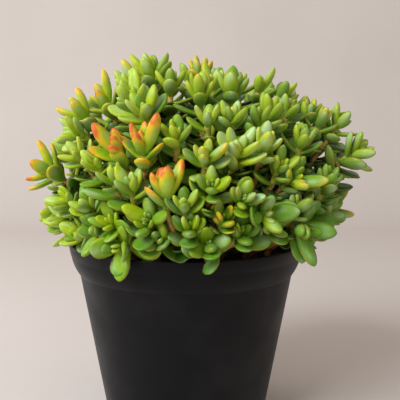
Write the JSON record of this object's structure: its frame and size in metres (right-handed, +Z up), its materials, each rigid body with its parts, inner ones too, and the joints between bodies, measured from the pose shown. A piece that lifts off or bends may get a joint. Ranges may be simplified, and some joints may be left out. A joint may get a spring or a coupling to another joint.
{
  "type": "potted crassula",
  "caption": "Bushy succulent with thick paired leaves on branching stems, rooted in soil in a tapered black plastic nursery pot with a banded rim.",
  "frame": {"origin": "middle of the flat underside of the pot", "axes": "+Z up through the plant, -Y towards the side that the picture shows, +X to that viewer's right"},
  "size_m": [0.2107, 0.1942, 0.2323],
  "materials": {
    "pot_plastic": "satin",
    "soil": "matte",
    "crassula": "satin"
  },
  "bodies": {
    "root": {"pot": "pot_plastic", "soil": "soil", "leafy_stem_01": "crassula", "leafy_stem_02": "crassula", "leafy_stem_03": "crassula", "leafy_stem_04": "crassula", "leafy_stem_05": "crassula", "leafy_stem_06": "crassula", "leafy_stem_07": "crassula", "leafy_stem_08": "crassula", "leafy_stem_09": "crassula", "leafy_stem_10": "crassula", "leafy_stem_11": "crassula", "leafy_stem_12": "crassula", "leafy_stem_13": "crassula", "leafy_stem_14": "crassula", "leafy_stem_15": "crassula", "leafy_stem_16": "crassula", "leafy_stem_17": "crassula", "leafy_stem_18": "crassula", "leafy_stem_19": "crassula", "leafy_stem_20": "crassula", "leafy_stem_21": "crassula", "leafy_stem_22": "crassula", "leafy_stem_23": "crassula", "leafy_stem_24": "crassula", "leafy_stem_25": "crassula", "leafy_stem_26": "crassula", "leafy_stem_27": "crassula", "leafy_stem_28": "crassula", "leafy_stem_29": "crassula", "leafy_stem_30": "crassula", "leafy_stem_31": "crassula", "leafy_stem_32": "crassula", "leafy_stem_33": "crassula", "leafy_stem_34": "crassula", "leafy_stem_35": "crassula", "leafy_stem_36": "crassula", "leafy_stem_37": "crassula", "leafy_stem_38": "crassula", "leafy_stem_39": "crassula", "leafy_stem_40": "crassula", "leafy_stem_41": "crassula", "leafy_stem_42": "crassula", "leafy_stem_43": "crassula", "leafy_stem_44": "crassula", "leafy_stem_45": "crassula", "leafy_stem_46": "crassula", "leafy_stem_47": "crassula", "leafy_stem_48": "crassula"}
  },
  "joints": []
}
